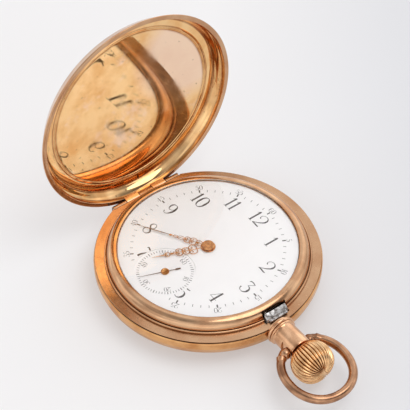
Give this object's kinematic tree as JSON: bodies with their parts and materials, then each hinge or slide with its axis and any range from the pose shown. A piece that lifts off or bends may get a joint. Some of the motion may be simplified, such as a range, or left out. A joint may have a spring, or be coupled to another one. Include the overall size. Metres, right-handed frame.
{
  "type": "pocket watch",
  "caption": "Hunter-cased pocket watch with a sprung front cover that stands open, a crown, a bow, an enamel dial with a seconds dial, and a geared movement.",
  "frame": {"origin": "centre of the flat in the back cover that the watch rests on", "axes": "+Z out of the dial, +X through the pendant and crown at three, +Y to twelve on the dial"},
  "size_m": [0.0795, 0.052, 0.0565],
  "materials": {
    "rose_gold": "polished rose gold",
    "yellow_gold": "polished yellow gold",
    "nickel": "damascened nickel",
    "steel": "polished steel",
    "blued_steel": "blued steel",
    "brass": "gilt brass",
    "ruby": "polished ruby",
    "enamel": "fired white enamel",
    "crystal": "clear"
  },
  "bodies": {
    "case": {"case_center": "rose_gold", "bezel": "rose_gold", "crystal": "crystal", "pendant": "rose_gold", "pendant_sleeve": "steel", "front_hinge_pin": "steel", "back_hinge_pin": "steel", "case_screws": "steel", "dial": "enamel", "pillar_plate": "nickel", "barrel_bridge": "nickel", "train_bridge": "nickel", "balance_cock": "nickel", "pallet_bridge": "nickel", "plate_screws": "blued_steel", "dial_screws": "blued_steel", "jewels": "ruby", "click_spring": "blued_steel"},
    "front_cover": {"front_cover": "yellow_gold"},
    "back_cover": {"back_cover": "rose_gold"},
    "cuvette": {"cuvette": "yellow_gold"},
    "bow": {"bow": "rose_gold"},
    "lock_spring": {"lock_spring": "steel"},
    "lift_spring": {"lift_spring": "steel"},
    "winding": {"winding_arbor": "steel", "winding_pinion": "steel"},
    "clutch": {"clutch": "steel"},
    "crown": {"crown": "yellow_gold", "stem": "steel"},
    "setting_lever": {"setting_lever": "steel"},
    "crown_wheel": {"crown_wheel": "steel"},
    "ratchet": {"ratchet_wheel": "steel", "ratchet_screw": "blued_steel", "barrel_arbor": "steel"},
    "click": {"click": "steel"},
    "barrel": {"barrel": "brass", "barrel_cover": "brass", "mainspring": "blued_steel"},
    "center": {"center_wheel": "brass", "center_arbor": "steel", "cannon_pinion": "steel", "minute_hand": "rose_gold"},
    "third": {"third_wheel": "brass", "third_arbor": "steel"},
    "fourth": {"fourth_wheel": "brass", "fourth_arbor": "steel", "seconds_hand": "rose_gold"},
    "escape": {"escape_wheel": "steel", "escape_arbor": "steel"},
    "pallet": {"pallet_fork": "steel", "pallet_stones": "ruby"},
    "balance": {"balance_wheel": "brass", "balance_screws": "yellow_gold", "balance_staff": "steel", "hairspring": "blued_steel"},
    "regulator": {"regulator": "steel"},
    "minute_wheel": {"minute_wheel": "brass"},
    "hour": {"hour_wheel": "brass", "hour_hand": "rose_gold"}
  },
  "joints": [
    {"name": "front_cover_hinge", "type": "hinge", "parent": "case", "child": "front_cover", "pos_m": [-0.0244, 0, 0.00672], "axis": [0, 1, 0], "range_deg": [0, 92.5], "stiffness_Nm_per_rad": 0.003},
    {"name": "back_cover_hinge", "type": "hinge", "parent": "case", "child": "back_cover", "pos_m": [-0.0244, 0, 0.00428], "axis": [0, 1, 0], "range_deg": [0, 90]},
    {"name": "cuvette_hinge", "type": "hinge", "parent": "case", "child": "cuvette", "pos_m": [-0.0244, 0, 0.00428], "axis": [0, 1, 0], "range_deg": [0, 67.5]},
    {"name": "bow_pivot", "type": "hinge", "parent": "case", "child": "bow", "pos_m": [0.0322, 0, 0.00655], "axis": [0, 1, 0], "range_deg": [-114.5, 105.5]},
    {"name": "lock_spring_slide", "type": "slide", "parent": "case", "child": "lock_spring", "axis": [1, 0, 0], "range_m": [-0.00045, 0]},
    {"name": "lift_spring_slide", "type": "slide", "parent": "case", "child": "lift_spring", "axis": [1, 0, 0], "range_m": [0, 0.0003]},
    {"name": "winding_spin", "type": "hinge", "parent": "case", "child": "winding", "pos_m": [0.0175, 0, 0.00655], "axis": [1, 0, 0], "continuous": true},
    {"name": "clutch_slide", "type": "slide", "parent": "winding", "child": "clutch", "axis": [1, 0, 0], "range_m": [-0.0006, 0]},
    {"name": "crown_press", "type": "slide", "parent": "winding", "child": "crown", "axis": [1, 0, 0], "range_m": [-0.00045, 0], "stiffness_N_per_m": 4000},
    {"name": "setting_lever_slide", "type": "slide", "parent": "case", "child": "setting_lever", "axis": [0.848, 0.5299, 0], "range_m": [0, 0.001]},
    {"name": "crown_wheel_spin", "type": "hinge", "parent": "case", "child": "crown_wheel", "pos_m": [0.01315, 0, 0.0055], "axis": [0, 0, 1], "continuous": true},
    {"name": "ratchet_spin", "type": "hinge", "parent": "case", "child": "ratchet", "pos_m": [0.00616, 0.00734, 0.0055], "axis": [0, 0, 1], "continuous": true},
    {"name": "click_pivot", "type": "hinge", "parent": "case", "child": "click", "pos_m": [0.00229, 0.01461, 0.0055], "axis": [0, 0, 1], "range_deg": [0, 12], "stiffness_Nm_per_rad": 0.0001},
    {"name": "barrel_spin", "type": "hinge", "parent": "case", "child": "barrel", "pos_m": [0.00616, 0.00734, 0.0055], "axis": [0, 0, 1], "continuous": true},
    {"name": "center_spin", "type": "hinge", "parent": "case", "child": "center", "pos_m": [0, 0, 0.0055], "axis": [0, 0, 1], "continuous": true},
    {"name": "third_spin", "type": "hinge", "parent": "case", "child": "third", "pos_m": [0.0036, -0.00647, 0.0055], "axis": [0, 0, 1], "continuous": true},
    {"name": "fourth_spin", "type": "hinge", "parent": "case", "child": "fourth", "pos_m": [0, -0.012, 0.0055], "axis": [0, 0, 1], "continuous": true},
    {"name": "escape_spin", "type": "hinge", "parent": "case", "child": "escape", "pos_m": [-0.0052, -0.01379, 0.0055], "axis": [0, 0, 1], "continuous": true},
    {"name": "pallet_rock", "type": "hinge", "parent": "case", "child": "pallet", "pos_m": [-0.00766, -0.01064, 0.0055], "axis": [0, 0, 1], "range_deg": [-5, 5]},
    {"name": "balance_swing", "type": "hinge", "parent": "case", "child": "balance", "pos_m": [-0.0105, -0.007, 0.0055], "axis": [0, 0, 1], "range_deg": [-270, 270], "stiffness_Nm_per_rad": 0.000002, "deforming": ["hairspring"]},
    {"name": "regulator_turn", "type": "hinge", "parent": "case", "child": "regulator", "pos_m": [-0.0105, -0.007, 0.0055], "axis": [0, 0, 1], "range_deg": [-20, 20]},
    {"name": "minute_wheel_spin", "type": "hinge", "parent": "case", "child": "minute_wheel", "pos_m": [0.00078, 0.0029, 0.0055], "axis": [0, 0, 1], "continuous": true},
    {"name": "hour_spin", "type": "hinge", "parent": "case", "child": "hour", "pos_m": [0, 0, 0.0055], "axis": [0, 0, 1], "continuous": true}
  ],
  "couplings": [
    {"joint": "cuvette_hinge", "follows": "back_cover_hinge", "ratio": 0.75},
    {"joint": "lock_spring_slide", "follows": "crown_press", "ratio": 1},
    {"joint": "lift_spring_slide", "follows": "front_cover_hinge", "m_per_rad": 0.000185},
    {"joint": "clutch_slide", "follows": "setting_lever_slide", "ratio": -0.6},
    {"joint": "crown_wheel_spin", "follows": "winding_spin", "ratio": 0.625},
    {"joint": "ratchet_spin", "follows": "winding_spin", "ratio": -0.47917},
    {"joint": "third_spin", "follows": "fourth_spin", "ratio": -0.13333},
    {"joint": "center_spin", "follows": "fourth_spin", "ratio": 0.016667},
    {"joint": "barrel_spin", "follows": "fourth_spin", "ratio": -0.0025641},
    {"joint": "escape_spin", "follows": "fourth_spin", "ratio": -10},
    {"joint": "minute_wheel_spin", "follows": "fourth_spin", "ratio": -0.0055556},
    {"joint": "hour_spin", "follows": "fourth_spin", "ratio": 0.0013889}
  ]
}
